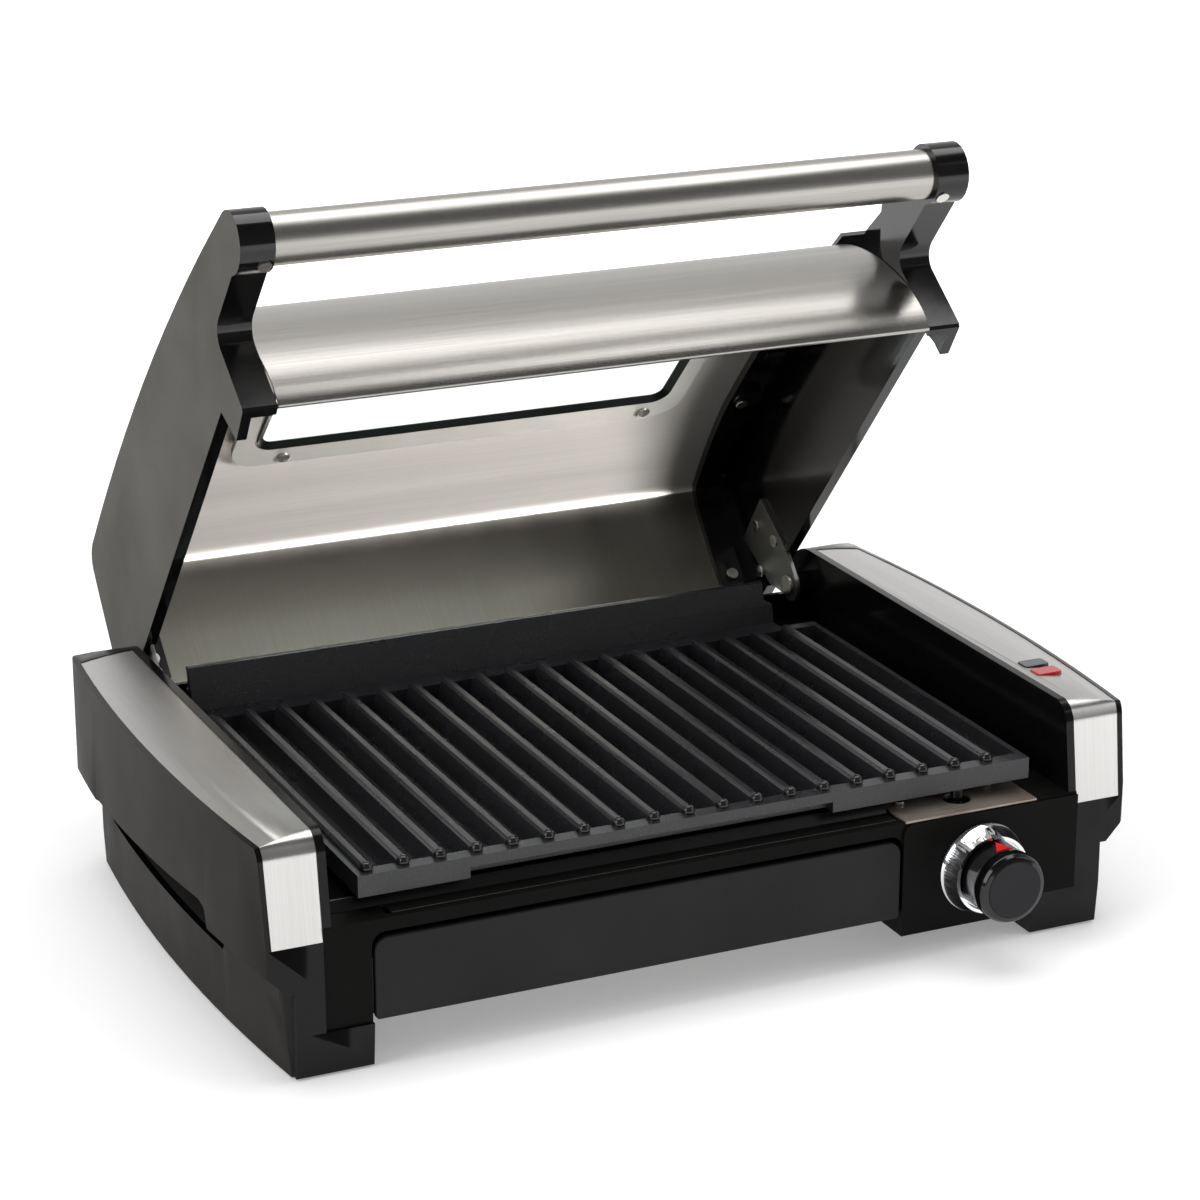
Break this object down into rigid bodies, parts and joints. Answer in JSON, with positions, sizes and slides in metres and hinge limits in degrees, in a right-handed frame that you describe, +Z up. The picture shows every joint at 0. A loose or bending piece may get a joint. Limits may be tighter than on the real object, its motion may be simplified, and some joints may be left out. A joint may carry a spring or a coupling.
{
  "type": "electric indoor grill with lid",
  "caption": "Countertop electric grill with a ribbed plate, a hinged steel lid with a window, a tube handle, a thermostat knob and a drip tray that slides out at the front.",
  "frame": {"origin": "on the table, under the middle of the base's footprint", "axes": "+X to the right seen from the front, +Y to the back, +Z up; the lid stands open at rest"},
  "size_m": [0.425, 0.3638, 0.3399],
  "materials": {
    "frame_black": "satin moulded",
    "housing_black": "satin moulded",
    "brushed_steel": "brushed across",
    "plain_steel": "fine mill finish",
    "rubber": "matt",
    "red_lens": "clear moulded",
    "dark_lens": "clear moulded",
    "pale_plastic": "moulded",
    "tinted_steel": "heat tinted",
    "screw_steel": "plated",
    "gloss_black": "gloss moulded",
    "chrome": "bright",
    "knob_grey": "satin",
    "pointer_red": "printed",
    "element_steel": "oxidised",
    "ceramic": "unglazed",
    "shield_black": "satin enamel",
    "wire_sleeve": "braided",
    "lid_grey": "satin moulded",
    "window_glass": "clear",
    "nonstick": "speckled non-stick",
    "tray_grey": "satin",
    "tray_black": "fine texture"
  },
  "bodies": {
    "base": {"base_frame": "frame_black", "bottom_plate": "plain_steel", "rear_panel": "housing_black", "control_cover": "housing_black", "left_housing": "housing_black", "right_housing": "housing_black", "left_strip": "brushed_steel", "right_strip": "brushed_steel", "rubber_feet": "rubber", "power_lens": "red_lens", "ready_lens": "dark_lens", "lamp_holders": "pale_plastic", "sensor_bracket": "tinted_steel", "bracket_screws": "screw_steel", "plunger_guide": "gloss_black", "thermostat_body": "pale_plastic", "knob_bezel": "chrome", "heating_element": "element_steel", "element_clips": "plain_steel", "element_terminals": "ceramic", "heat_shield": "shield_black", "terminal_block": "pale_plastic", "lead_wires": "wire_sleeve", "cord_gland": "rubber", "base_screws": "screw_steel", "hinge_pins": "screw_steel", "hinge_bushes": "gloss_black"},
    "lid": {"left_lid_side": "lid_grey", "right_lid_side": "lid_grey", "hood": "brushed_steel", "visor": "brushed_steel", "window_glass": "window_glass", "window_gasket": "rubber", "window_frame": "plain_steel", "window_screws": "screw_steel", "handle_tube": "brushed_steel", "handle_screws": "screw_steel", "left_clamp_rail": "gloss_black", "right_clamp_rail": "gloss_black", "rail_screws": "screw_steel", "left_hinge_plate": "plain_steel", "right_hinge_plate": "plain_steel", "hinge_screws": "screw_steel"},
    "plate": {"grill_plate": "nonstick"},
    "tray": {"drip_tray": "tray_grey", "tray_front": "tray_black"},
    "knob": {"knob": "gloss_black", "knob_cap": "knob_grey", "knob_pointer": "pointer_red", "knob_shaft": "screw_steel"},
    "plunger": {"sensor_plunger": "gloss_black", "plunger_spring": "screw_steel"}
  },
  "joints": [
    {"name": "lid_hinge", "type": "hinge", "parent": "base", "child": "lid", "pos_m": [0, 0.1171, 0.0881], "axis": [-1, 0, 0], "range_deg": [-49.1, 0]},
    {"name": "tray_slide", "type": "slide", "parent": "base", "child": "tray", "axis": [0, -1, 0], "range_m": [0, 0.2]},
    {"name": "knob_turn", "type": "hinge", "parent": "base", "child": "knob", "pos_m": [0.1301, -0.1355, 0.0391], "axis": [0, 1, 0], "range_deg": [0, 270]},
    {"name": "plunger_press", "type": "slide", "parent": "base", "child": "plunger", "axis": [0, 0, -1], "range_m": [0, 0.003], "stiffness_N_per_m": 300, "springref_m": -0.002, "deforming": ["plunger_spring"]},
    {"name": "plate_lift", "type": "slide", "parent": "base", "child": "plate", "axis": [0, 0, 1], "range_m": [0, 0.05]}
  ]
}
